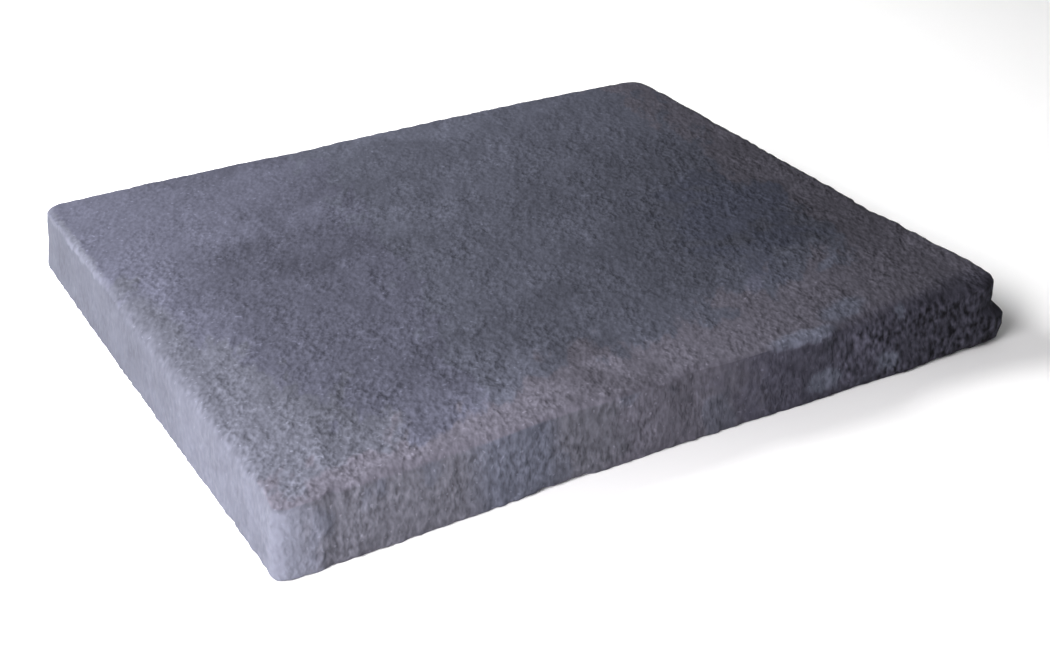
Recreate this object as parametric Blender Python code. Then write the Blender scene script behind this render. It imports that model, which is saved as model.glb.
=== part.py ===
"""Basalt massage stone: one flat slab of solid rock with hand-dressed sides.

Metres, +Z up. The origin is the middle of the underside. +X runs along the long side,
-Y is the front and -X is the left. The stone is lofted from its underside to its top
through one closed ring of points for each level. Each ring is a rounded rectangle that
stands in from the bounding box by an inset worked out for each place around the stone.
"""

import math
from collections import namedtuple

import bmesh
import bpy
from mathutils import Vector

# The bounding box of the finished stone.
LENGTH = 0.180
WIDTH = 0.154
HEIGHT = 0.0155

# Corner rounding in plan at the foot, counter-clockwise from the front right corner.
CORNER_RADII = (0.0050, 0.0060, 0.0052, 0.0030)
CORNER_STEPS = 6
# How much of an inset a corner's radius takes up, so that the rings stay concentric there.
CORNER_TIGHTENING = 0.25

# Spacing of the points along the straight runs of the sides.
COLUMN_SPACING = 0.0022

# How many steps round off the foot, climb the side and round off the top arris.
FOOT_STEPS = 3
SIDE_STEPS = 5
ARRIS_STEPS = 5

# How one place on the sides is dressed. The setback is how far the foot stands in from
# the bounding box, and the draft is how far the top edge stands in from the foot. The worn
# top edge starts at drop below the top and ends at reach inside the edge. The foot is the
# width of the worn lower edge.
Dressing = namedtuple("Dressing", "setback draft drop reach foot")
# Counter-clockwise from the front right corner, as everywhere below.
CORNERS = (
    Dressing(0.0000, 0.0006, 0.0010, 0.0016, 0.0042),
    Dressing(0.0006, 0.0022, 0.0012, 0.0018, 0.0008),
    Dressing(0.0004, 0.0016, 0.0012, 0.0020, 0.0008),
    Dressing(0.0001, 0.0014, 0.0012, 0.0019, 0.0007),
)
SIDE_NAMES = ("right", "back", "left", "front")
SIDE_MIDDLES = (
    Dressing(0.0008, 0.0018, 0.0013, 0.0018, 0.0008),
    Dressing(0.0002, 0.0012, 0.0013, 0.0018, 0.0008),
    Dressing(0.0000, 0.0019, 0.0022, 0.0032, 0.0008),
    Dressing(0.0020, 0.0019, 0.0017, 0.0022, 0.0008),
)
# The part of a side's length, from each end, over which the corner's dressing fades out.
CORNER_FADE = 0.16

# Where an edge was knocked off. The place runs from 0 to 1 along the side, and width is
# half the chip's length. A high power gives it crisp ends. Depth is added to the draft,
# wear to the worn top edge, and undercut to the worn lower edge.
Chip = namedtuple("Chip", "side place width power depth wear undercut")
CHIPS = (
    Chip("front", 0.024, 0.0042, 6, -0.0004, -0.0008, 0.0000),
    Chip("front", 0.057, 0.0028, 4, 0.0003, 0.0010, 0.0000),
    Chip("front", 0.170, 0.0150, 4, 0.0000, 0.0014, 0.0000),
    Chip("front", 0.340, 0.0080, 6, 0.0004, 0.0000, 0.0012),
    Chip("front", 0.535, 0.0050, 2, 0.0012, 0.0000, 0.0000),
    Chip("front", 0.655, 0.0190, 4, -0.0001, -0.0009, 0.0000),
    Chip("front", 0.855, 0.0185, 6, 0.0020, 0.0026, 0.0006),
    Chip("left", 0.950, 0.0050, 4, 0.0006, -0.0006, 0.0000),
    Chip("left", 0.870, 0.0060, 4, 0.0004, 0.0006, 0.0004),
    Chip("left", 0.520, 0.0300, 4, 0.0002, 0.0012, 0.0000),
    Chip("left", 0.150, 0.0230, 4, 0.0000, -0.0012, 0.0000),
    Chip("right", 0.300, 0.0070, 2, 0.0004, 0.0006, 0.0000),
    Chip("back", 0.620, 0.0120, 2, 0.0003, 0.0005, 0.0000),
)

# The front right corner is split back above a lump that the foot keeps.
NOTCH_DEPTH = 0.0020
NOTCH_HEIGHT = 0.0082
NOTCH_BLEND = 0.0014
NOTCH_REACH = 0.0075

# The front left corner is split off in a flat facet that turns to the left. It ends in a
# crease, and the front stands back a little beside it.
FACET_END = -0.0803
FACET_TURN = 0.0006
FACET_STEP = 0.00018
FACET_STEP_WIDTH = 0.0012
FACET_STEP_FADE = 0.0140

# The sides were dressed in shallow scoops of about this size.
SCOOP_LENGTH = 0.013
SCOOP_RISE = 0.016
SCOOP_DEPTH = 0.00030
# How unevenly the scoops are spaced, and how much they are staggered up the side.
SCOOP_WANDER = 1.9
SCOOP_STAGGER = 0.35

BASALT_COLOUR = (0.105, 0.108, 0.138, 1.0)
BASALT_ROUGHNESS = 0.92
# Edges sharper than this stay sharp when the surface is shaded.
CREASE_ANGLE = math.radians(35)

# A place on a ring: the side or corner it belongs to, and how far along that it is.
Station = namedtuple("Station", "kind index place")


def clear_scene():
    """Remove every object that the file opened with."""
    for scene_object in list(bpy.data.objects):
        bpy.data.objects.remove(scene_object, do_unlink=True)


def side_run(index):
    """Length of a side's straight run between its two rounded corners, at the foot."""
    span = WIDTH if index % 2 == 0 else LENGTH
    return span - CORNER_RADII[index] - CORNER_RADII[(index + 1) % 4]


def ring_stations():
    """Places around a ring, counter-clockwise from the front right corner."""
    stations = []
    for index in range(4):
        for step in range(CORNER_STEPS):
            stations.append(Station("corner", index, step / CORNER_STEPS))
        steps = round(side_run(index) / COLUMN_SPACING)
        for step in range(steps):
            stations.append(Station("side", index, step / steps))
    return stations


def corner_point(index, place, inset):
    """Point on a rounded corner of the outline that stands in from the box by inset."""
    sign_x, sign_y = ((1, -1), (1, 1), (-1, 1), (-1, -1))[index]
    radius = CORNER_RADII[index] - CORNER_TIGHTENING * inset
    angle = (index - 1 + place) * math.pi / 2
    return Vector((sign_x * (LENGTH / 2 - inset - radius) + radius * math.cos(angle),
                   sign_y * (WIDTH / 2 - inset - radius) + radius * math.sin(angle)))


def outline_point(station):
    """Point of a station on the outline that touches the box."""
    if station.kind == "corner":
        return corner_point(station.index, station.place, 0.0)
    start = corner_point(station.index, 1.0, 0.0)
    return start.lerp(corner_point((station.index + 1) % 4, 0.0, 0.0), station.place)


def blend(before, after, amount):
    """Dressing between two others, from 0 to 1."""
    return Dressing(*(a + (b - a) * amount for a, b in zip(before, after)))


def smooth(low, high, value):
    """0 below low, 1 above high and a soft ramp between them."""
    amount = min(max((value - low) / (high - low), 0.0), 1.0)
    return amount * amount * (3 - 2 * amount)


def distance_from_chip(chip, station):
    """Distance along the stone between a station and the middle of a chip."""
    side = SIDE_NAMES.index(chip.side)
    run = side_run(side)
    if station.kind == "side" and station.index == side:
        along = station.place * run
    elif station.kind == "corner" and station.index == side:
        along = (station.place - 1.0) * CORNER_RADII[side] * math.pi / 2
    elif station.kind == "corner" and station.index == (side + 1) % 4:
        along = run + station.place * CORNER_RADII[station.index] * math.pi / 2
    else:
        return math.inf
    return abs(along - chip.place * run)


def dressing_at(station):
    """Dressing of a station, with the chips in its edges."""
    if station.kind == "corner":
        dressing = CORNERS[station.index]
    else:
        middle = SIDE_MIDDLES[station.index]
        corner = blend(CORNERS[station.index], CORNERS[(station.index + 1) % 4],
                       station.place)
        bow = math.sin(math.pi * station.place)
        setback = corner.setback + (middle.setback - corner.setback) * bow
        weight = 1.0 - smooth(0.0, CORNER_FADE, min(station.place, 1.0 - station.place))
        dressing = blend(middle, corner, weight)._replace(setback=setback)
    for chip in CHIPS:
        knock = math.exp(-((distance_from_chip(chip, station) / chip.width) ** chip.power))
        dressing = dressing._replace(
            draft=dressing.draft + chip.depth * knock,
            drop=dressing.drop + chip.wear * knock,
            reach=dressing.reach + chip.wear * knock,
            foot=dressing.foot + chip.undercut * knock)
    return dressing


def notch_inset(station, height):
    """How far the front right corner is split back above its foot lump."""
    away = (outline_point(station) - corner_point(0, 0.5, 0.0)).length
    near = math.exp(-((away / NOTCH_REACH) ** 2))
    return NOTCH_DEPTH * near * smooth(-NOTCH_BLEND, NOTCH_BLEND, height - NOTCH_HEIGHT)


def facet_inset(station):
    """How far the front stands in at its left end, for the facet and the step beside it."""
    if station.index != SIDE_NAMES.index("front"):
        return 0.0
    x = outline_point(station).x
    turned = station.place if station.kind == "corner" else 1.0
    if x < FACET_END:
        return FACET_TURN * turned * (FACET_END - x) / (FACET_END + LENGTH / 2)
    beside = smooth(FACET_END, FACET_END + FACET_STEP_WIDTH, x)
    return FACET_STEP * beside * (1 - smooth(FACET_END, FACET_END + FACET_STEP_FADE, x))


def scoop_inset(station, height):
    """How deep the dressing's scoops are at a station and a height, up to the top edge."""
    place = outline_point(station)
    along = 2 * math.pi * (place.x - place.y) / SCOOP_LENGTH
    up = math.pi * height / SCOOP_RISE
    hollow = math.sin(along + SCOOP_WANDER * math.sin(along / 5))
    stagger = math.cos(up + SCOOP_STAGGER * along)
    return SCOOP_DEPTH * math.sin(up) * (0.5 + 0.5 * hollow * stagger)


def curve_point(start, middle, end, step):
    """Quadratic curve from start to end that leaves and arrives towards the middle point."""
    return (1 - step) ** 2 * start + 2 * step * (1 - step) * middle + step ** 2 * end


def side_profile(station):
    """Insets and heights of one station, from the underside to the flat of the top."""
    setback, draft, drop, reach, foot = dressing_at(station)
    slope = draft / HEIGHT
    foot_start = Vector((setback + foot, 0.0))
    foot_edge = Vector((setback, 0.0))
    foot_end = Vector((setback + slope * foot, foot))
    arris_start = Vector((setback + draft - slope * drop, HEIGHT - drop))
    arris_edge = Vector((setback + draft, HEIGHT))
    arris_end = Vector((setback + draft + reach, HEIGHT))
    profile = [curve_point(foot_start, foot_edge, foot_end, step / FOOT_STEPS)
               for step in range(FOOT_STEPS)]
    profile += [foot_end.lerp(arris_start, step / SIDE_STEPS) for step in range(SIDE_STEPS)]
    profile += [curve_point(arris_start, arris_edge, arris_end, step / ARRIS_STEPS)
                for step in range(ARRIS_STEPS + 1)]
    for point in profile:
        point.x += notch_inset(station, point.y) + facet_inset(station)
        point.x += scoop_inset(station, point.y)
    return profile


def column_points(station):
    """Points of one station, from the underside to the flat of the top."""
    after = (station.index + 1) % 4
    start_profile = side_profile(Station("corner", station.index, 1.0))
    end_profile = side_profile(Station("corner", after, 0.0))
    points = []
    for row, (inset, height) in enumerate(side_profile(station)):
        if station.kind == "corner":
            x, y = corner_point(station.index, station.place, inset)
        else:
            start = corner_point(station.index, 1.0, start_profile[row].x)
            end = corner_point(after, 0.0, end_profile[row].x)
            x, y = start.lerp(end, station.place)
            if SIDE_NAMES[station.index] in ("right", "left"):
                x = math.copysign(LENGTH / 2 - inset, x)
            else:
                y = math.copysign(WIDTH / 2 - inset, y)
        points.append(Vector((x, y, height)))
    return points


def fit_to_box(body):
    """Bring the dressed outline to the stated length and width, with the box centred."""
    for axis, size in ((0, LENGTH), (1, WIDTH)):
        values = [vertex.co[axis] for vertex in body.verts]
        low = min(values)
        scale = size / (max(values) - low)
        for vertex in body.verts:
            vertex.co[axis] = (vertex.co[axis] - low) * scale - size / 2


def stone_mesh():
    """Loft the rings into one closed body with a flat underside and a flat top."""
    body = bmesh.new()
    columns = [[body.verts.new(point) for point in column_points(station)]
               for station in ring_stations()]
    for number, column in enumerate(columns):
        following = columns[(number + 1) % len(columns)]
        for level in range(len(column) - 1):
            body.faces.new(
                (column[level], following[level], following[level + 1], column[level + 1]))
    body.faces.new([column[-1] for column in columns])
    body.faces.new([column[0] for column in reversed(columns)])

    fit_to_box(body)
    bmesh.ops.triangulate(body, faces=body.faces[:])
    mesh = bpy.data.meshes.new("basalt_slab")
    body.to_mesh(mesh)
    body.free()
    return mesh


def basalt_material():
    """Dry, dark blue-grey volcanic rock."""
    material = bpy.data.materials.new("basalt")
    material.use_nodes = True
    shader = material.node_tree.nodes["Principled BSDF"]
    shader.inputs["Base Color"].default_value = BASALT_COLOUR
    shader.inputs["Roughness"].default_value = BASALT_ROUGHNESS
    shader.inputs["Metallic"].default_value = 0.0
    return material


def build_stone():
    """The stone is one object: it is a single natural piece."""
    mesh = stone_mesh()
    mesh.materials.append(basalt_material())
    mesh.shade_smooth()
    mesh.set_sharp_from_angle(angle=CREASE_ANGLE)
    stone = bpy.data.objects.new("basalt_slab", mesh)
    bpy.context.collection.objects.link(stone)


clear_scene()
build_stone()
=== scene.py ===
"""Looks of the basalt massage stone: one dressed slab with a rough, finely pitted surface."""

import math
from collections import namedtuple

import bmesh
import bpy
from mathutils import Matrix, Vector, noise


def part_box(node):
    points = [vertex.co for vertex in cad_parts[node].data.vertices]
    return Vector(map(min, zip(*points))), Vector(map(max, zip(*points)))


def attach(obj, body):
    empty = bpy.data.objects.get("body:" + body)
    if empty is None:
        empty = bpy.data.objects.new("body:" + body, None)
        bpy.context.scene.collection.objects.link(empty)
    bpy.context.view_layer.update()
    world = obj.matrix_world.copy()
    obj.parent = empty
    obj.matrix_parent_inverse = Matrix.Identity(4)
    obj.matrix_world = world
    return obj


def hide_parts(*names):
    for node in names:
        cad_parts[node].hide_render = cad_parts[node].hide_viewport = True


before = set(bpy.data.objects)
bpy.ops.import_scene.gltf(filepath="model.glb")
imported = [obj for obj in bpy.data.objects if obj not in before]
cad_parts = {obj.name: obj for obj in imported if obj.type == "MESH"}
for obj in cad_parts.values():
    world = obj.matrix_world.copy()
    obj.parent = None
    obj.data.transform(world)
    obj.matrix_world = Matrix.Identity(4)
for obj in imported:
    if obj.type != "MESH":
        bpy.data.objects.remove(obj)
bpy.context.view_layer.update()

# The stone fills the box of its CAD node.
NODE = "basalt_slab"
BOX_LOW, BOX_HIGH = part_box(NODE)
LENGTH, WIDTH, HEIGHT = BOX_HIGH - BOX_LOW

# ---------------------------------------------------------------------------------------
# The stone's form. It is the CAD solid's own: rounded rectangles that stand in from the
# box by an inset, one for each place around the stone and each height.
# ---------------------------------------------------------------------------------------

MESH_STEP = 0.00067
UNDERSIDE_STEP = 5
FOOT_ROWS = 3
ARRIS_ROWS = 6

CORNER_RADII = (0.0050, 0.0060, 0.0052, 0.0030)
CORNER_TIGHTENING = 0.25
CORNER_FADE = 0.16

# The setback is how far the foot stands in from the box, and the draft is how far the top
# edge stands in from the foot. The worn top edge starts at drop below the top and ends at
# reach inside the edge. The foot is the width of the worn lower edge.
Dressing = namedtuple("Dressing", "setback draft drop reach foot")
# Counter-clockwise from the front right corner, as everywhere below.
CORNERS = (
    Dressing(0.0000, 0.0006, 0.0010, 0.0016, 0.0042),
    Dressing(0.0006, 0.0022, 0.0012, 0.0018, 0.0008),
    Dressing(0.0004, 0.0016, 0.0012, 0.0020, 0.0008),
    Dressing(0.0001, 0.0014, 0.0012, 0.0019, 0.0007),
)
SIDE_NAMES = ("right", "back", "left", "front")
SIDE_MIDDLES = (
    Dressing(0.0008, 0.0018, 0.0013, 0.0018, 0.0008),
    Dressing(0.0002, 0.0012, 0.0013, 0.0018, 0.0008),
    Dressing(0.0000, 0.0019, 0.0022, 0.0032, 0.0008),
    Dressing(0.0020, 0.0019, 0.0017, 0.0022, 0.0008),
)

# Where an edge was knocked off. The place runs from 0 to 1 along the side, and width is
# half the chip's length. A high power gives it crisp ends. Depth is added to the draft,
# wear to the worn top edge, and undercut to the worn lower edge.
Chip = namedtuple("Chip", "side place width power depth wear undercut")
CHIPS = (
    Chip("front", 0.024, 0.0042, 6, -0.0004, -0.0008, 0.0000),
    Chip("front", 0.057, 0.0028, 4, 0.0003, 0.0010, 0.0000),
    Chip("front", 0.170, 0.0150, 4, 0.0000, 0.0014, 0.0000),
    Chip("front", 0.340, 0.0080, 6, 0.0004, 0.0000, 0.0012),
    Chip("front", 0.535, 0.0050, 2, 0.0012, 0.0000, 0.0000),
    Chip("front", 0.655, 0.0190, 4, -0.0001, -0.0009, 0.0000),
    Chip("front", 0.855, 0.0185, 6, 0.0020, 0.0026, 0.0006),
    Chip("left", 0.950, 0.0050, 4, 0.0006, -0.0006, 0.0000),
    Chip("left", 0.870, 0.0060, 4, 0.0004, 0.0006, 0.0004),
    Chip("left", 0.520, 0.0300, 4, 0.0002, 0.0012, 0.0000),
    Chip("left", 0.150, 0.0230, 4, 0.0000, -0.0012, 0.0000),
    Chip("right", 0.300, 0.0070, 2, 0.0004, 0.0006, 0.0000),
    Chip("back", 0.620, 0.0120, 2, 0.0003, 0.0005, 0.0000),
)

# The front right corner is split back above a lump that the foot keeps.
NOTCH_DEPTH = 0.0020
NOTCH_HEIGHT = 0.0082
NOTCH_BLEND = 0.0014
NOTCH_REACH = 0.0075

# The front left corner is split off in a flat facet that turns to the left. It ends in a
# crease, and the front stands back a little beside it.
FACET_END = -0.0803
FACET_TURN = 0.0004
FACET_STEP = 0.00018
FACET_STEP_WIDTH = 0.0012
FACET_STEP_FADE = 0.0140

Station = namedtuple("Station", "kind index place")


def side_run(index):
    """Length of a side's straight run between its two rounded corners, at the foot."""
    span = WIDTH if index % 2 == 0 else LENGTH
    return span - CORNER_RADII[index] - CORNER_RADII[(index + 1) % 4]


def edge_station(index, place):
    """Station at a place from 0 to 1 between the middles of an edge's two corners."""
    run = side_run(index)
    first = CORNER_RADII[index] * math.pi / 4
    last = CORNER_RADII[(index + 1) % 4] * math.pi / 4
    distance = place * (first + run + last)
    if distance < first:
        return Station("corner", index, 0.5 + 0.5 * distance / first)
    if distance <= first + run:
        return Station("side", index, (distance - first) / run)
    return Station("corner", (index + 1) % 4, 0.5 * (distance - first - run) / last)


def corner_point(index, place, inset):
    """Point on a rounded corner of the outline that stands in from the box by inset."""
    sign_x, sign_y = ((1, -1), (1, 1), (-1, 1), (-1, -1))[index]
    radius = CORNER_RADII[index] - CORNER_TIGHTENING * inset
    angle = (index - 1 + place) * math.pi / 2
    return Vector((sign_x * (LENGTH / 2 - inset - radius) + radius * math.cos(angle),
                   sign_y * (WIDTH / 2 - inset - radius) + radius * math.sin(angle)))


def blend(before, after, amount):
    """Dressing between two others, from 0 to 1."""
    return Dressing(*(a + (b - a) * amount for a, b in zip(before, after)))


def smooth(low, high, value):
    """0 below low, 1 above high and a soft ramp between them."""
    amount = min(max((value - low) / (high - low), 0.0), 1.0)
    return amount * amount * (3 - 2 * amount)


def distance_from_chip(chip, station):
    """Distance along the stone between a station and the middle of a chip."""
    side = SIDE_NAMES.index(chip.side)
    run = side_run(side)
    if station.kind == "side" and station.index == side:
        along = station.place * run
    elif station.kind == "corner" and station.index == side:
        along = (station.place - 1.0) * CORNER_RADII[side] * math.pi / 2
    elif station.kind == "corner" and station.index == (side + 1) % 4:
        along = run + station.place * CORNER_RADII[station.index] * math.pi / 2
    else:
        return math.inf
    return abs(along - chip.place * run)


def dressing_at(station):
    """Dressing of a station, with the chips in its edges."""
    if station.kind == "corner":
        dressing = CORNERS[station.index]
    else:
        middle = SIDE_MIDDLES[station.index]
        corner = blend(CORNERS[station.index], CORNERS[(station.index + 1) % 4],
                       station.place)
        bow = math.sin(math.pi * station.place)
        setback = corner.setback + (middle.setback - corner.setback) * bow
        weight = 1.0 - smooth(0.0, CORNER_FADE, min(station.place, 1.0 - station.place))
        dressing = blend(middle, corner, weight)._replace(setback=setback)
    for chip in CHIPS:
        knock = math.exp(-((distance_from_chip(chip, station) / chip.width) ** chip.power))
        dressing = dressing._replace(
            draft=dressing.draft + chip.depth * knock,
            drop=dressing.drop + chip.wear * knock,
            reach=dressing.reach + chip.wear * knock,
            foot=dressing.foot + chip.undercut * knock)
    return dressing


def outline_point(station):
    """Point of a station on the outline that touches the box."""
    if station.kind == "corner":
        return corner_point(station.index, station.place, 0.0)
    start = corner_point(station.index, 1.0, 0.0)
    return start.lerp(corner_point((station.index + 1) % 4, 0.0, 0.0), station.place)


def notch_inset(station, height):
    """How far the front right corner is split back above its foot lump."""
    away = (outline_point(station) - corner_point(0, 0.5, 0.0)).length
    near = math.exp(-((away / NOTCH_REACH) ** 2))
    return NOTCH_DEPTH * near * smooth(-NOTCH_BLEND, NOTCH_BLEND, height - NOTCH_HEIGHT)


def facet_inset(station):
    """How far the front stands in at its left end, for the facet and the step beside it."""
    if station.index != SIDE_NAMES.index("front"):
        return 0.0
    x = outline_point(station).x
    turned = station.place if station.kind == "corner" else 1.0
    if x < FACET_END:
        return FACET_TURN * turned * (FACET_END - x) / (FACET_END + LENGTH / 2)
    beside = smooth(FACET_END, FACET_END + FACET_STEP_WIDTH, x)
    return FACET_STEP * beside * (1 - smooth(FACET_END, FACET_END + FACET_STEP_FADE, x))


def curve_point(start, middle, end, step):
    """Quadratic curve from start to end that leaves and arrives towards the middle point."""
    return (1 - step) ** 2 * start + 2 * step * (1 - step) * middle + step ** 2 * end


SIDE_ROWS = round(HEIGHT / MESH_STEP)


def side_profile(station):
    """Insets and heights of one station, from the underside to the flat of the top."""
    setback, draft, drop, reach, foot = dressing_at(station)
    slope = draft / HEIGHT
    foot_start = Vector((setback + foot, 0.0))
    foot_edge = Vector((setback, 0.0))
    foot_end = Vector((setback + slope * foot, foot))
    arris_start = Vector((setback + draft - slope * drop, HEIGHT - drop))
    arris_edge = Vector((setback + draft, HEIGHT))
    arris_end = Vector((setback + draft + reach, HEIGHT))
    profile = [curve_point(foot_start, foot_edge, foot_end, row / FOOT_ROWS)
               for row in range(FOOT_ROWS)]
    profile += [foot_end.lerp(arris_start, row / SIDE_ROWS) for row in range(SIDE_ROWS)]
    profile += [curve_point(arris_start, arris_edge, arris_end, row / ARRIS_ROWS)
                for row in range(ARRIS_ROWS + 1)]
    for point in profile:
        point.x += notch_inset(station, point.y) + facet_inset(station)
    return profile


# ---------------------------------------------------------------------------------------
# The mesh: rings up the sides, a fine grid on the top and a coarser one underneath.
# ---------------------------------------------------------------------------------------

# Cells along each edge, a multiple of the underside's step so that the grids share corners.
CELLS = tuple(
    UNDERSIDE_STEP * round(span / MESH_STEP / UNDERSIDE_STEP)
    for span in (WIDTH, LENGTH, WIDTH, LENGTH))


def side_columns():
    """One column of points, foot to top, for each place around the stone."""
    corner_ends = [(side_profile(Station("corner", index, 0.0)),
                    side_profile(Station("corner", index, 1.0))) for index in range(4)]
    columns = []
    for side, cells in enumerate(CELLS):
        for cell in range(cells):
            station = edge_station(side, cell / cells)
            column = []
            for row, (inset, height) in enumerate(side_profile(station)):
                if station.kind == "corner":
                    x, y = corner_point(station.index, station.place, inset)
                else:
                    start = corner_point(side, 1.0, corner_ends[side][1][row].x)
                    after = (side + 1) % 4
                    end = corner_point(after, 0.0, corner_ends[after][0][row].x)
                    x, y = start.lerp(end, station.place)
                    if SIDE_NAMES[side] in ("right", "left"):
                        x = math.copysign(LENGTH / 2 - inset, x)
                    else:
                        y = math.copysign(WIDTH / 2 - inset, y)
                column.append(Vector((x, y, height)))
            columns.append(column)
    return columns


def ring_grid(ring):
    """Grid of vertices inside a ring of points: rows along X, from the front to the back."""
    across, along = CELLS[0], CELLS[1]
    right = ring[:across + 1]
    back = ring[across:across + along + 1][::-1]
    left = ring[across + along:2 * across + along + 1][::-1]
    front = ring[2 * across + along:] + ring[:1]
    grid = []
    for row in range(across + 1):
        v = row / across
        line = []
        for column in range(along + 1):
            u = column / along
            sides = left[row] * (1 - u) + right[row] * u
            ends = front[column] * (1 - v) + back[column] * v
            corners = ((front[0] * (1 - u) + front[-1] * u) * (1 - v)
                       + (back[0] * (1 - u) + back[-1] * u) * v)
            line.append(sides + ends - corners)
        grid.append(line)
    return grid


# Where each part of the surface lies on the square texture that finishes are baked to: the
# top at the lower left, one strip for each side above it, and the underside at the right.
BAKE_MARGIN = 0.01
BAKE_SCALE = 4.1
STRIP_START = 0.655
STRIP_PITCH = 0.085
STRIP_HEIGHT = 0.077
UNDERSIDE_START = 0.757
UNDERSIDE_SCALE = 1.5


def bake_place_on_top(point):
    return Vector((BAKE_MARGIN + (point.x + LENGTH / 2) * BAKE_SCALE,
                   BAKE_MARGIN + (point.y + WIDTH / 2) * BAKE_SCALE))


def bake_place_underneath(point):
    return Vector((UNDERSIDE_START + (point.y + WIDTH / 2) * UNDERSIDE_SCALE,
                   BAKE_MARGIN + (point.x + LENGTH / 2) * UNDERSIDE_SCALE))


def bake_place_on_side(side, cell, height):
    """Place on a side's strip, for a cell along the side and a height from 0 to 1."""
    length = (WIDTH if side % 2 == 0 else LENGTH) * BAKE_SCALE
    return Vector((BAKE_MARGIN + length * cell / CELLS[side],
                   STRIP_START + STRIP_PITCH * side + STRIP_HEIGHT * height))


def base_mesh():
    """The smooth stone before its relief, as a closed bmesh."""
    body = bmesh.new()
    bake_map = body.loops.layers.uv.new("OFBake")
    columns = side_columns()
    rings = [[body.verts.new(column[row]) for column in columns]
             for row in range(len(columns[0]))]
    for row in range(len(rings) - 1):
        start = 0
        for side, cells in enumerate(CELLS):
            for cell in range(cells):
                here = start + cell
                after = (here + 1) % len(columns)
                face = body.faces.new((rings[row][here], rings[row][after],
                                       rings[row + 1][after], rings[row + 1][here]))
                corners = ((cell, row), (cell + 1, row), (cell + 1, row + 1), (cell, row + 1))
                for loop, (along, up) in zip(face.loops, corners):
                    loop[bake_map].uv = bake_place_on_side(side, along, up / (len(rings) - 1))
            start += cells
    cap_grid(body, rings[-1], 1, True, bake_map, bake_place_on_top)
    cap_grid(body, rings[0], UNDERSIDE_STEP, False, bake_map, bake_place_underneath)
    return body


def cap_grid(body, ring, step, upward, bake_map, bake_place):
    """Close a ring with a grid whose cells are step times as long as the ring's."""
    across, along = CELLS[0], CELLS[1]
    points = ring_grid([vertex.co for vertex in ring])
    rim = {}
    for place, vertex in enumerate(ring):
        if place <= across:
            key = (place, along)
        elif place <= across + along:
            key = (across, along - (place - across))
        elif place <= 2 * across + along:
            key = (across - (place - across - along), 0)
        else:
            key = (0, place - 2 * across - along)
        rim[key] = vertex
    grid = dict(rim)
    for row in range(step, across, step):
        for column in range(step, along, step):
            grid[row, column] = body.verts.new(points[row][column])
    for row in range(0, across, step):
        for column in range(0, along, step):
            walk = ([(row, column + i) for i in range(step)]
                    + [(row + i, column + step) for i in range(step)]
                    + [(row + step, column + step - i) for i in range(step)]
                    + [(row + step - i, column) for i in range(step)])
            corners = walk[::step]
            outline = [grid[key] for key in walk if key in corners or key in rim]
            face = body.faces.new(outline if upward else outline[::-1])
            for loop in face.loops:
                loop[bake_map].uv = bake_place(loop.vert.co)


# ---------------------------------------------------------------------------------------
# The relief: what weather, dressing and the rock's own pores do to the smooth form.
# ---------------------------------------------------------------------------------------

# The rock's grain is drawn out along one heading from +X, and up the sides.
GRAIN_HEADING = math.radians(60)
GRAIN_STRETCH = 1.35
GRAIN_RISE = 1.4
GRAIN_SIZE = 0.0011

# Each kind of relief, by how high or deep it is and the size of its features.
Relief = namedtuple("Relief", "height size")
SWAY = Relief(0.00012, 0.060)
SWELL = Relief(0.00009, 0.014)
CLODS = Relief(0.00027, 0.0021)
STREAKS = Relief(0.00013, 0.0019)
LUMPS = Relief(0.00014, 0.0060)
SCOOPS = Relief(0.00016, 0.009)
FOOT_RAGS = Relief(0.00030, 0.0015)
UNDERSIDE_CLEARANCE = 0.00005
CLOD_STRETCH = 1.3
# Streaks and scoops are drawn out up the sides: these shrink the height that they go by.
STREAK_SQUEEZE = 0.30
SCOOP_SQUEEZE = 0.45
# The streaks grow from left to right along the front, between these two points.
STREAKS_LEFT = 0.6
STREAKS_GAIN = 1.0
STREAKS_START = -0.030
STREAKS_END = 0.020
# The left side and the flat facet are this much calmer.
CALM = 0.6

# Worn-smooth patches lie between rough ones, which are drawn out along the grain.
COARSE_PATCH = 0.0075
COARSE_STRETCH = 1.7
COARSE_LOW = 0.68
COARSE_GAIN = 0.50
COARSE_RAMP = (-0.45, 0.35)
# The grain is coarser at the front left and at the right, and finer at the back. Each change
# runs between two places across the stone.
COARSER_FRONT_LEFT = 0.42
FINER_BACK = 0.30
COARSER_RIGHT = 0.20
COARSER_TO_FRONT = (0.02, -0.07)
COARSER_TO_LEFT = (0.02, -0.08)
FINER_TO_BACK = (0.02, 0.07)
COARSER_TO_RIGHT = (0.00, 0.08)
COARSER_OFF_BACK = (0.05, 0.00)
# Where the hollows of the dressing end in walls: 0 on a wall, and 1 from this far inside.
HOLLOW_WALL = 0.55


def waves(point, size, octaves=1):
    """Soft noise from about -1 to 1 with features of about the given size."""
    return noise.fractal(point / size, 0.8, 2.0, octaves)


def grain_point(point, stretch):
    """Point in a space where the drawn-out grain is as long as it is wide."""
    along = point.x * math.cos(GRAIN_HEADING) + point.y * math.sin(GRAIN_HEADING)
    across = point.y * math.cos(GRAIN_HEADING) - point.x * math.sin(GRAIN_HEADING)
    return Vector((along / stretch, across, point.z))


def hollows(point, size):
    """0 on the walls between hollows of about the given size, and 1 in their middles."""
    distances, _ = noise.voronoi(point / size)
    return smooth(0.0, HOLLOW_WALL, distances[1] - distances[0])


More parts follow.
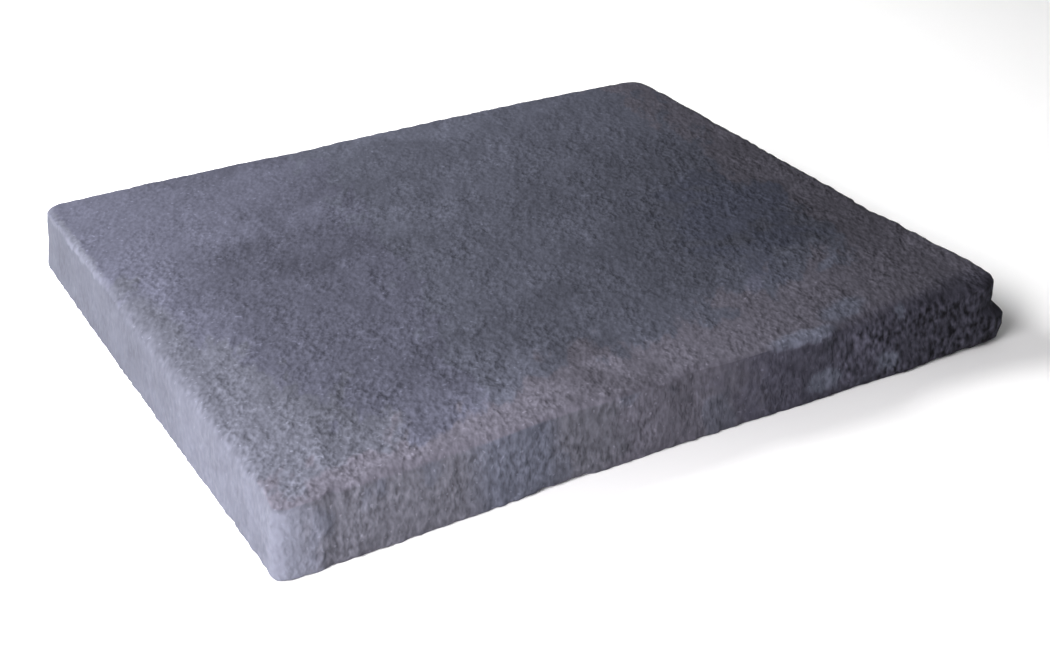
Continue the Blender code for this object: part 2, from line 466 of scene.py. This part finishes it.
def coarseness(point):
    """How coarse the grain is here."""
    patch = waves(grain_point(point, COARSE_STRETCH) + Vector((0.21, 0.37, 0.0)),
                  COARSE_PATCH, 2)
    rough = COARSE_LOW + COARSE_GAIN * smooth(*COARSE_RAMP, patch)
    front_left = smooth(*COARSER_TO_FRONT, point.y) * smooth(*COARSER_TO_LEFT, point.x)
    back = smooth(*FINER_TO_BACK, point.y)
    right = smooth(*COARSER_TO_RIGHT, point.x) * smooth(*COARSER_OFF_BACK, point.y)
    return rough * (1.0 + COARSER_FRONT_LEFT * front_left - FINER_BACK * back
                    + COARSER_RIGHT * right)


def clods(point):
    """Bumps of the broken rock, a couple of grains across."""
    return CLODS.height * noise.noise(grain_point(point, CLOD_STRETCH) / CLODS.size)


def face_relief(point):
    """Height of the top and of the underside above their planes."""
    sway = SWAY.height * waves(point, SWAY.size)
    swell = SWELL.height * waves(point + Vector((0.3, 0.1, 0.2)), SWELL.size, 2)
    return sway + swell + coarseness(point) * clods(point)


def side_relief(point):
    """Height of the dressed sides above their smooth form."""
    upright = Vector((point.x, point.y, point.z * STREAK_SQUEEZE))
    left = smooth(-0.078, -0.086, point.x)
    facet = smooth(FACET_END + 0.0004, FACET_END - 0.0006, point.x)
    facet *= smooth(-0.070, -0.074, point.y)
    ridged = STREAKS_LEFT + STREAKS_GAIN * smooth(STREAKS_START, STREAKS_END, point.x)
    streaks = STREAKS.height * ridged * waves(upright, STREAKS.size, 2)
    lumps = LUMPS.height * waves(point, LUMPS.size, 2)
    squeezed = Vector((point.x, point.y, point.z * SCOOP_SQUEEZE))
    scoops = -SCOOPS.height * hollows(squeezed, SCOOPS.size)
    rough = coarseness(point + Vector((0.03, 0.0, 0.05)))
    foot = FOOT_RAGS.height * smooth(0.0020, 0.0004, point.z) * waves(upright, FOOT_RAGS.size)
    broken = (streaks + rough * clods(point)) * (1 - CALM * max(left, facet))
    return (scoops + lumps) * (1 - facet) + foot + broken


def add_relief(mesh):
    """Move each vertex along its normal, and note how side-facing and how coarse it is."""
    side_mask = mesh.attributes.new("side", "FLOAT", "POINT")
    coarse_mask = mesh.attributes.new("coarse", "FLOAT", "POINT")
    normals = [vertex.normal.copy() for vertex in mesh.vertices]
    for vertex, normal in zip(mesh.vertices, normals):
        point = vertex.co.copy()
        side = 1.0 - smooth(0.25, 0.95, abs(normal.z))
        relief = face_relief(point) * (1 - side) + side_relief(point) * side
        if normal.z < -0.9:
            relief = min(relief, 0.0) - UNDERSIDE_CLEARANCE
        vertex.co = point + normal * relief
        side_mask.data[vertex.index].value = side
        coarse_mask.data[vertex.index].value = coarseness(point)


def stone_object():
    """The finished stone, as one piece."""
    body = base_mesh()
    mesh = bpy.data.meshes.new("dressed_stone")
    body.to_mesh(mesh)
    body.free()
    add_relief(mesh)
    mesh.shade_smooth()
    stone = bpy.data.objects.new("dressed_stone", mesh)
    bpy.context.collection.objects.link(stone)
    return stone


# ---------------------------------------------------------------------------------------
# The material
# ---------------------------------------------------------------------------------------

class Nodes:
    """Small helper that adds nodes and links them in one call."""

    def __init__(self, material):
        material.use_nodes = True
        self.tree = material.node_tree
        self.shader = self.tree.nodes["Principled BSDF"]

    def add(self, kind, settings=(), **inputs):
        node = self.tree.nodes.new(kind)
        for name, value in dict(settings).items():
            setattr(node, name, value)
        for name, value in inputs.items():
            self.feed(node.inputs[name.replace("_", " ")], value)
        return node

    def feed(self, socket, value):
        if isinstance(value, bpy.types.NodeSocket):
            self.tree.links.new(value, socket)
        else:
            socket.default_value = value

    def noise(self, vector, scale, detail=2.0, roughness=0.5):
        node = self.add("ShaderNodeTexNoise", Vector=vector, Scale=scale, Detail=detail,
                        Roughness=roughness)
        return node.outputs["Fac"]

    def spread(self, value, low, high, to_low=0.0, to_high=1.0):
        node = self.add("ShaderNodeMapRange", {"interpolation_type": "SMOOTHSTEP"},
                        Value=value, From_Min=low, From_Max=high, To_Min=to_low,
                        To_Max=to_high)
        return node.outputs["Result"]

    def math(self, operation, first, second=0.0):
        node = self.tree.nodes.new("ShaderNodeMath")
        node.operation = operation
        self.feed(node.inputs[0], first)
        self.feed(node.inputs[1], second)
        return node.outputs[0]

    def mix(self, amount, first, second):
        node = self.tree.nodes.new("ShaderNodeMix")
        node.data_type = "RGBA"
        self.feed(node.inputs[0], amount)
        self.feed(node.inputs[6], first)
        self.feed(node.inputs[7], second)
        return node.outputs[2]

    def blend(self, amount, first, second):
        node = self.tree.nodes.new("ShaderNodeMix")
        self.feed(node.inputs[0], amount)
        self.feed(node.inputs[2], first)
        self.feed(node.inputs[3], second)
        return node.outputs[0]

    def product(self, *values):
        result = values[0]
        for value in values[1:]:
            result = self.math("MULTIPLY", result, value)
        return result

    def total(self, *values):
        result = values[0]
        for value in values[1:]:
            result = self.math("ADD", result, value)
        return result

    def around_zero(self, value, amount):
        """A noise from 0 to 1, moved to stand around zero and scaled by an amount."""
        return self.product(self.math("SUBTRACT", value, 0.5), amount)

    def drifted(self, place, size, amount):
        """Place moved about by soft noise, so that shapes drawn at it get ragged outlines."""
        drift = self.add("ShaderNodeTexNoise", Vector=place, Scale=1 / size, Detail=3.0,
                         Roughness=0.6).outputs["Color"]
        moved = self.tree.nodes.new("ShaderNodeVectorMath")
        moved.operation = "MULTIPLY_ADD"
        self.feed(moved.inputs[0], drift)
        self.feed(moved.inputs[1], (amount, amount, amount))
        self.feed(moved.inputs[2], place)
        back = self.tree.nodes.new("ShaderNodeVectorMath")
        back.operation = "SUBTRACT"
        self.feed(back.inputs[0], moved.outputs["Vector"])
        self.feed(back.inputs[1], (amount / 2, amount / 2, amount / 2))
        return back.outputs["Vector"]

    def shade(self, colour, factor):
        """Colour made lighter or darker by a factor."""
        node = self.add("ShaderNodeVectorMath", {"operation": "SCALE"}, Vector=colour,
                        Scale=factor)
        return node.outputs["Vector"]


# The rock's hues, all of about the same lightness.
SLATE = (0.930, 0.985, 1.305, 1)
VIOLET = (0.955, 0.985, 1.360, 1)
BROWN = (1.030, 0.985, 1.240, 1)
DUST = (0.965, 1.005, 1.280, 1)
SPLIT = (0.995, 0.990, 1.215, 1)
DEEP = (0.990, 0.960, 1.330, 1)
NIGHT = (0.890, 0.965, 1.375, 1)

# How light the rock is painted. Two numbers are its left and its right end. The fall from left
# to right is partly the rock's own tone and partly painted shade, where the lamps' light from
# the left falls off across the stone.
TOP_MIDDLE = (0.086, 0.056)
TOP_BACK = (0.120, 0.096)
TOP_FRONT = (0.134, 0.062)
TOP_LEFT = 0.136
SIDE_FRONT = (0.117, 0.045)
SIDE_LEFT_BACK = 0.117
SIDE_LEFT_FRONT = 0.134
SIDE_RIGHT = 0.078
# The facet is paler rock, painted lighter still as painted light where it turns towards the
# lamps.
FACET_PALE_AND_LIT = 0.160


class Spot(namedtuple("Spot", "x y z heading length width height")):
    """A soft ellipsoid on the stone, by its middle, its heading and its half sizes."""

    def mask(self, nodes, place):
        local = nodes.add("ShaderNodeMapping", {"vector_type": "TEXTURE"}, Vector=place,
                          Location=(self.x, self.y, self.z),
                          Rotation=(0, 0, math.radians(self.heading)),
                          Scale=(self.length, self.width, self.height))
        away = nodes.add("ShaderNodeVectorMath", {"operation": "LENGTH"},
                         Vector=local.outputs["Vector"]).outputs["Value"]
        return nodes.spread(away, 1.25, 0.60)


# The arris at the right end is broken away, and the split rock reaches onto the top.
BROKEN_EDGE = Spot(0.0690, -0.0760, 0.0120, -4, 0.0250, 0.0060, 0.0100)

# Soft drifts of damp and dust on the top, by how much darker or lighter they make it.
Drift = namedtuple("Drift", "x y heading length width factor")
DRIFTS = (
    Drift(-0.020, -0.036, 0, 0.030, 0.011, 0.84),
    Drift(-0.012, -0.057, 10, 0.016, 0.009, 0.68),
    Drift(-0.009, 0.052, 0, 0.034, 0.015, 0.83),
    Drift(-0.036, 0.076, 0, 0.028, 0.007, 0.86),
    Drift(-0.040, 0.018, 0, 0.022, 0.009, 0.84),
    Drift(0.062, -0.031, 10, 0.018, 0.007, 0.88),
    Drift(0.080, 0.058, 90, 0.022, 0.008, 0.88),
    Drift(-0.057, 0.037, 60, 0.011, 0.009, 1.16),
    Drift(-0.079, -0.002, 90, 0.022, 0.008, 1.10),
    Drift(0.028, 0.004, 20, 0.028, 0.011, 1.17),
    Drift(-0.006, 0.017, 0, 0.013, 0.009, 1.10),
    Drift(0.048, -0.045, 0, 0.016, 0.008, 1.16),
    Drift(-0.054, -0.060, 0, 0.022, 0.009, 1.15),
    Drift(0.083, -0.006, 90, 0.022, 0.007, 1.16),
    Drift(0.086, -0.060, 90, 0.012, 0.007, 1.25),
    Drift(0.034, 0.072, 0, 0.036, 0.007, 1.11),
)
DRIFT_REACH = 0.05

# Local colours: the bluest rock inside the right half of the top; the darkest tone at the
# right end, dark rock with painted shade where the lamps' light falls off; smooth pale strips
# beside the front arris, where the rock split along a bluish layer and where the arris's lip
# catches the light as a painted highlight; wisps behind them; the dusty left arris with a pale
# worn line along it, brightened further as a painted highlight; and paler and bluish lumps on
# the front.
ToneMark = namedtuple("ToneMark", "spot hue tone")
NIGHT_PATCH = Spot(0.0560, -0.0180, 0.0155, 60, 0.0300, 0.0190, 0.0050)
STAINS_AND_PAINTED_LIGHT = (
    # Painted shade: the right end's darkest tone is dark rock, darkened further where the
    # lamps' light falls off.
    ToneMark(Spot(0.0800, -0.0740, 0.0080, 0, 0.0150, 0.0090, 0.0120), DEEP, 0.032),
    # Painted highlight: pale bluish strips along the front arris, where its lip catches the
    # light, over a bluish split layer.
    ToneMark(Spot(0.0350, -0.0732, 0.0155, -2, 0.0115, 0.0030, 0.0016), SLATE, 0.138),
    ToneMark(Spot(0.0475, -0.0672, 0.0150, 14, 0.0075, 0.0034, 0.0030), SLATE, 0.100),
    ToneMark(Spot(0.0592, -0.0728, 0.0150, 40, 0.0030, 0.0014, 0.0030), SLATE, 0.080),
    ToneMark(Spot(0.0385, -0.0478, 0.0155, 50, 0.0050, 0.0018, 0.0030), VIOLET, 0.104),
    ToneMark(Spot(0.0585, -0.0482, 0.0155, 30, 0.0050, 0.0016, 0.0030), SLATE, 0.098),
    ToneMark(Spot(-0.0845, -0.0030, 0.0150, 90, 0.0240, 0.0055, 0.0030), DUST, 0.126),
    # Painted highlight: a pale worn line along the left arris, brightened where it catches the
    # light.
    ToneMark(Spot(-0.0872, 0.0500, 0.0151, 90, 0.0270, 0.0012, 0.0014), DUST, 0.175),
    ToneMark(Spot(0.0470, -0.0755, 0.0080, 0, 0.0080, 0.0080, 0.0070), DEEP, 0.064),
    ToneMark(Spot(0.0375, -0.0757, 0.0044, 0, 0.0055, 0.0080, 0.0026), SLATE, 0.104),
    ToneMark(Spot(0.0552, -0.0757, 0.0040, 0, 0.0034, 0.0080, 0.0022), SLATE, 0.090),
)


# Where one kind of rock gives way to another: the coordinate at which the change starts, and
# the one at which it is complete.
RIGHTWARD = (-0.030, 0.070)
BACKWARD = (0.000, 0.066)
ALONG_FRONT_RIM = (-0.045, 0.100)
ALONG_FRONT_SIDE = (-0.020, 0.060)
TO_LEFT_RIM = (-0.062, -0.083)
TO_FRONT_RIM = (-0.046, -0.062)
TO_BROWN_RIM = (-0.053, -0.058)
TO_BROWN_RIGHT = (0.071, 0.076)
TO_VIOLET = (-0.026, -0.030)
TO_DUST = (-0.077, -0.082)
SPLIT_TO_BROWN = (-0.025, -0.015)
BROWN_TO_DEEP = (0.010, 0.030)
TO_SLATE_BAND = (-0.052, -0.042)
SLATE_BAND_TO_BACK = (-0.026, -0.032)
TO_LEFT_SIDE = (-0.080, -0.086)
TO_LEFT_FRONT = (0.0, -0.030)
TO_RIGHT_SIDE = (0.080, 0.086)
OFF_FRONT_RIGHT = (-0.062, -0.045)
TO_SPALL = (0.025, 0.060)
TO_SPALL_FRONT = (-0.055, -0.068)
TO_FACET = (FACET_END + 0.0001, FACET_END - 0.0006)
TO_FACET_FRONT = (-0.0700, -0.0740)
UNDER_ARRIS = (0.0148, 0.0138)
# The front is this much darker to the right of a step in its tone: partly the rock's own tone
# and partly painted shade, for the front turning away from the light beyond the step.
TONE_STEP = 0.87
TONE_STEP_PLACE = (-0.042, -0.034)
# How far each boundary leans: its shift for each metre along the other axis.
FRONT_LEAN = -0.2
VIOLET_LEAN = -0.15
DUST_LEAN = 0.33

# Sizes of the noises that blur the boundaries and mottle the tone, and their strengths.
CLOUD_SIZE = 0.030
CLOUD_WANDER = 0.035
MOTTLE_SIZE = 0.0060
MOTTLE_STRETCH = 2.2
MOTTLE_WANDER = 0.040
MOTTLE = 0.55
SIDE_STAIN_SIZE = 0.010
SIDE_STAIN_RISE = 1.6
SIDE_STAIN = 0.6
DRIFT_SIZE = 0.016
DRIFT_WANDER = 0.045
RAGGED_SIZE = 0.004
RAGGED_WANDER = 0.0035
CRYSTAL_SIZE = 0.0009
CRYSTAL = 0.5
# How strongly the pits and crumbs show.
SPECKLE_TOP = 0.9
SPECKLE_SIDE = 1.05
SPECKLE_SPALL = 3.4
CALM_LEFT = 0.75
CALM_FACET = 0.5
DARKEST = 0.2


def top_tone(nodes, wide_x, wide_y, front_rim):
    """How light the top is: darkest inside its right half, paler towards the edges. The
    darkening to the right is partly painted shade of the lamps' falloff.
    """
    rightward = nodes.spread(wide_x, *RIGHTWARD)
    tone = nodes.blend(nodes.spread(wide_y, *BACKWARD),
                       nodes.blend(rightward, *TOP_MIDDLE), nodes.blend(rightward, *TOP_BACK))
    along_front = nodes.spread(wide_x, *ALONG_FRONT_RIM)
    tone = nodes.blend(front_rim, tone, nodes.blend(along_front, *TOP_FRONT))
    return nodes.blend(nodes.spread(wide_x, *TO_LEFT_RIM), tone, TOP_LEFT)


def top_colour(nodes, place, x, y, wide_x, wide_y):
    """Hue and tone of the top: slate, violet to the left and brown at the front and right."""
    front_slant = nodes.total(wide_y, nodes.product(x, FRONT_LEAN))
    tone = top_tone(nodes, wide_x, wide_y, nodes.spread(front_slant, *TO_FRONT_RIM))
    violet_slant = nodes.total(wide_x, nodes.product(y, VIOLET_LEAN))
    hue = nodes.mix(nodes.spread(violet_slant, *TO_VIOLET), SLATE, VIOLET)
    dust_slant = nodes.total(wide_x, nodes.product(y, DUST_LEAN))
    hue = nodes.mix(nodes.spread(dust_slant, *TO_DUST), hue, DUST)
    brown_rim = nodes.math("MAXIMUM", nodes.spread(front_slant, *TO_BROWN_RIM),
                           nodes.spread(wide_x, *TO_BROWN_RIGHT))
    drifting = nodes.drifted(place, DRIFT_SIZE, DRIFT_WANDER)
    hue = nodes.mix(NIGHT_PATCH.mask(nodes, drifting), hue, NIGHT)
    hue = nodes.mix(brown_rim, hue, BROWN)
    for drift in DRIFTS:
        spot = Spot(drift.x, drift.y, HEIGHT, drift.heading, drift.length, drift.width,
                    DRIFT_REACH)
        shading = nodes.blend(spot.mask(nodes, drifting), 1.0, drift.factor)
        tone = nodes.product(tone, shading)
    return hue, tone


def side_colour(nodes, place, x, y, wide_x, left_side, facet_mask):
    """Hue and tone of the sides, by the facet, the left side, the front and the right side."""
    upright = nodes.add("ShaderNodeMapping", {"vector_type": "TEXTURE"}, Vector=place,
                        Scale=(1, 1, SIDE_STAIN_RISE)).outputs["Vector"]
    stains = nodes.spread(nodes.noise(upright, 1 / SIDE_STAIN_SIZE, 2.0, 0.5), 0.54, 0.62,
                          0.0, SIDE_STAIN)
    slate_band = nodes.product(nodes.spread(x, *TO_SLATE_BAND),
                               nodes.spread(x, *SLATE_BAND_TO_BACK))
    stains = nodes.math("MAXIMUM", stains, slate_band)
    hue = nodes.mix(nodes.spread(wide_x, *SPLIT_TO_BROWN), SPLIT, BROWN)
    hue = nodes.mix(nodes.spread(wide_x, *BROWN_TO_DEEP), hue, DEEP)
    hue = nodes.mix(stains, hue, SLATE)
    hue = nodes.mix(left_side, hue, DUST)

    # Painted shade along the front: darker beyond the step and towards the right end, where
    # the lamps' light falls off, over the rock's own tone.
    step = nodes.spread(wide_x, *TONE_STEP_PLACE, 1.0, TONE_STEP)
    along_front = nodes.spread(wide_x, *ALONG_FRONT_SIDE)
    tone = nodes.product(step, nodes.blend(along_front, *SIDE_FRONT))
    # The left side is painted paler towards its front, partly its dusty tone and partly
    # painted light from the key lamp near that corner.
    left_tone = nodes.blend(nodes.spread(y, *TO_LEFT_FRONT), SIDE_LEFT_BACK, SIDE_LEFT_FRONT)
    tone = nodes.blend(left_side, tone, left_tone)
    right_side = nodes.product(nodes.spread(x, *TO_RIGHT_SIDE),
                               nodes.spread(y, *OFF_FRONT_RIGHT))
    tone = nodes.blend(right_side, tone, SIDE_RIGHT)
    # The facet's tone: pale rock plus painted light where it faces the lamps.
    return hue, nodes.blend(facet_mask, tone, FACET_PALE_AND_LIT)


def basalt_colour(nodes, place, side, coarse, grain):
    """Colour of the rock: the top's and the sides', then local stains and painted light, then
    the grain with painted shade in its pits.
    """
    split = nodes.add("ShaderNodeSeparateXYZ", Vector=place)
    x, y, z = split.outputs["X"], split.outputs["Y"], split.outputs["Z"]
    drawn_out = nodes.add("ShaderNodeMapping", {"vector_type": "TEXTURE"}, Vector=place,
                          Rotation=(0, 0, GRAIN_HEADING),
                          Scale=(MOTTLE_STRETCH, 1, 1)).outputs["Vector"]
    clouds = nodes.noise(place, 1 / CLOUD_SIZE, 3.0, 0.55)
    patches = nodes.noise(drawn_out, 1 / MOTTLE_SIZE, 3.0, 0.6)
    wander = nodes.total(nodes.around_zero(clouds, CLOUD_WANDER),
                         nodes.around_zero(patches, MOTTLE_WANDER))
    wide_x = nodes.math("ADD", x, wander)
    wide_y = nodes.math("ADD", y, wander)

    left_side = nodes.spread(x, *TO_LEFT_SIDE)
    facet_mask = nodes.product(nodes.spread(x, *TO_FACET), nodes.spread(y, *TO_FACET_FRONT),
                          nodes.spread(z, *UNDER_ARRIS))
    top_hue, top_light = top_colour(nodes, place, x, y, wide_x, wide_y)
    side_hue, side_light = side_colour(nodes, place, x, y, wide_x, left_side, facet_mask)
    sideways = nodes.math("MAXIMUM", nodes.spread(side, 0.25, 0.75),
                          BROKEN_EDGE.mask(nodes, place))
    hue = nodes.mix(sideways, top_hue, side_hue)
    tone = nodes.blend(sideways, top_light, side_light)
    ragged = nodes.drifted(place, RAGGED_SIZE, RAGGED_WANDER)
    # Local tones: real stains and dust, painted highlights along the arrises and painted shade
    # at the right end.
    for mark in STAINS_AND_PAINTED_LIGHT:
        mask = mark.spot.mask(nodes, ragged)
        hue = nodes.mix(mask, hue, mark.hue)
        tone = nodes.blend(mask, tone, mark.tone)

    # Dark pits and light crumbs, strongest on coarse rock and on the spalled right end, with
    # a few pale crystals. The speckle follows the bump's height: partly the grain's own
    # colour, partly painted shade in the pits and painted light on the crumbs.
    spalled = nodes.product(side, nodes.spread(x, *TO_SPALL), nodes.spread(y, *TO_SPALL_FRONT))
    calm = nodes.math("MAXIMUM", nodes.product(side, left_side, CALM_LEFT),
                      nodes.product(facet_mask, CALM_FACET))
    lively = nodes.math("SUBTRACT", 1.0, calm)
    plain = nodes.blend(sideways, SPECKLE_TOP, SPECKLE_SIDE)
    strength = nodes.product(coarse, nodes.blend(spalled, plain, SPECKLE_SPALL), lively)
    speckle = nodes.around_zero(grain, strength)
    mottle = nodes.around_zero(patches, MOTTLE)
    crystals = nodes.spread(nodes.noise(place, 1 / CRYSTAL_SIZE, 0.0, 0.5), 0.74, 0.82,
                            0.0, CRYSTAL)
    texture = nodes.total(1.0, speckle, mottle, nodes.product(crystals, lively))
    return nodes.shade(hue, nodes.product(tone, nodes.math("MAXIMUM", texture, DARKEST)))


# The bump stands for the grain that is finer than the mesh. Pits are rougher than crumbs.
BUMP_HEIGHT = 0.00060
BUMP_STRENGTH = 0.52
PIT_ROUGHNESS = (0.98, 0.88)
SHEEN = 0.15


def basalt_material():
    """Dry volcanic rock with fine pores and a matt, slightly crumbly surface."""
    material = bpy.data.materials.new("dressed_basalt")
    nodes = Nodes(material)
    place = nodes.add("ShaderNodeTexCoord").outputs["Object"]
    side = nodes.add("ShaderNodeAttribute", {"attribute_name": "side"}).outputs["Fac"]
    coarse = nodes.add("ShaderNodeAttribute", {"attribute_name": "coarse"}).outputs["Fac"]
    grain_place = nodes.add(
        "ShaderNodeMapping", {"vector_type": "TEXTURE"}, Vector=place,
        Rotation=(0, 0, GRAIN_HEADING),
        Scale=(GRAIN_STRETCH, 1, GRAIN_RISE)).outputs["Vector"]
    pits = nodes.noise(grain_place, 1 / GRAIN_SIZE, 1.0, 0.35)

    nodes.feed(nodes.shader.inputs["Base Color"],
               basalt_colour(nodes, place, side, coarse, pits))
    nodes.feed(nodes.shader.inputs["Roughness"], nodes.spread(pits, 0.2, 0.8, *PIT_ROUGHNESS))
    bump = nodes.add("ShaderNodeBump", Distance=BUMP_HEIGHT, Height=pits)
    nodes.feed(bump.inputs["Strength"], nodes.product(coarse, BUMP_STRENGTH))
    nodes.feed(nodes.shader.inputs["Normal"], bump.outputs["Normal"])
    nodes.shader.inputs["Specular IOR Level"].default_value = SHEEN
    return material


# ---------------------------------------------------------------------------------------
# The studio
# ---------------------------------------------------------------------------------------

FLOOR_REACH = 6.0
FLOOR_COLOUR = (0.9, 0.9, 0.9, 1)
FLOOR_ROUGHNESS = 0.9
DAYLIGHT = 0.05

# Soft square lights, by their place, side length, power and colour. The wash only lights the
# floor, so that it stays pale and plain.
Lamp = namedtuple("Lamp", "name place size power colour")
KEY = Lamp("key", (-0.27, -0.17, 0.19), 0.20, 1.75, (1.0, 0.98, 1.0))
FILL = Lamp("fill", (-0.28, 0.34, 0.30), 0.30, 3.1, (1.0, 1.0, 1.0))
WASH = Lamp("wash", (0.0, 0.0, 3.0), 6.0, 46.5, (1.0, 1.0, 1.0))


def floor():
    """Wide pale floor under the stone."""
    mesh = bpy.data.meshes.new("floor")
    reach = FLOOR_REACH
    mesh.from_pydata([(-reach, -reach, 0), (reach, -reach, 0), (reach, reach, 0),
                      (-reach, reach, 0)], [], [(0, 1, 2, 3)])
    plane = bpy.data.objects.new("floor", mesh)
    bpy.context.collection.objects.link(plane)
    paint = bpy.data.materials.new("pale_floor")
    paint.use_nodes = True
    shader = paint.node_tree.nodes["Principled BSDF"]
    shader.inputs["Base Color"].default_value = FLOOR_COLOUR
    shader.inputs["Roughness"].default_value = FLOOR_ROUGHNESS
    shader.inputs["Specular IOR Level"].default_value = 0.0
    mesh.materials.append(paint)
    return plane


def area_light(lamp):
    """Light that faces the middle of the stone and stays out of sight."""
    data = bpy.data.lights.new(lamp.name, "AREA")
    data.shape = "SQUARE"
    data.size = lamp.size
    data.energy = lamp.power
    data.color = lamp.colour
    light = bpy.data.objects.new(lamp.name, data)
    light.location = lamp.place
    light.rotation_euler = (-Vector(lamp.place)).to_track_quat("-Z", "Y").to_euler()
    light.visible_camera = False
    bpy.context.collection.objects.link(light)
    return light


def studio_light(plane):
    """A key from the front left, a fill from the back left, daylight and the floor's wash."""
    world = bpy.data.worlds.new("studio")
    world.use_nodes = True
    background = world.node_tree.nodes["Background"]
    background.inputs["Color"].default_value = (1.0, 1.0, 1.0, 1)
    background.inputs["Strength"].default_value = DAYLIGHT
    bpy.context.scene.world = world
    area_light(KEY)
    area_light(FILL)
    floor_only = bpy.data.collections.new("floor_only")
    floor_only.objects.link(plane)
    area_light(WASH).light_linking.receiver_collection = floor_only


def camera():
    """Camera that looks down on the front left corner."""
    azimuth = math.radians(-29.81)
    elevation = math.radians(29.22)
    roll = math.radians(-0.32)
    distance = 0.40068
    shift_right = 0.00556
    shift_up = -0.00822
    focal_widths = 1.5863

    back = Vector((math.sin(azimuth) * math.cos(elevation),
                   -math.cos(azimuth) * math.cos(elevation), math.sin(elevation)))
    right = (-back).cross(Vector((0, 0, 1))).normalized()
    up = right.cross(-back)
    rolled_right = right * math.cos(roll) + up * math.sin(roll)
    rolled_up = up * math.cos(roll) - right * math.sin(roll)

    data = bpy.data.cameras.new("camera")
    data.sensor_fit = "HORIZONTAL"
    data.sensor_width = 36.0
    data.lens = 36.0 * focal_widths
    data.clip_start = 0.01
    viewer = bpy.data.objects.new("camera", data)
    turn = Matrix((rolled_right, rolled_up, back)).transposed()
    place = rolled_right * shift_right + rolled_up * shift_up + back * distance
    viewer.matrix_world = Matrix.Translation(place) @ turn.to_4x4()
    bpy.context.collection.objects.link(viewer)
    bpy.context.scene.camera = viewer


camera()
stone = stone_object()
stone.data.materials.append(basalt_material())
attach(stone, "root")
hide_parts(NODE)
studio_light(floor())
bpy.context.scene.view_settings.view_transform = "Standard"
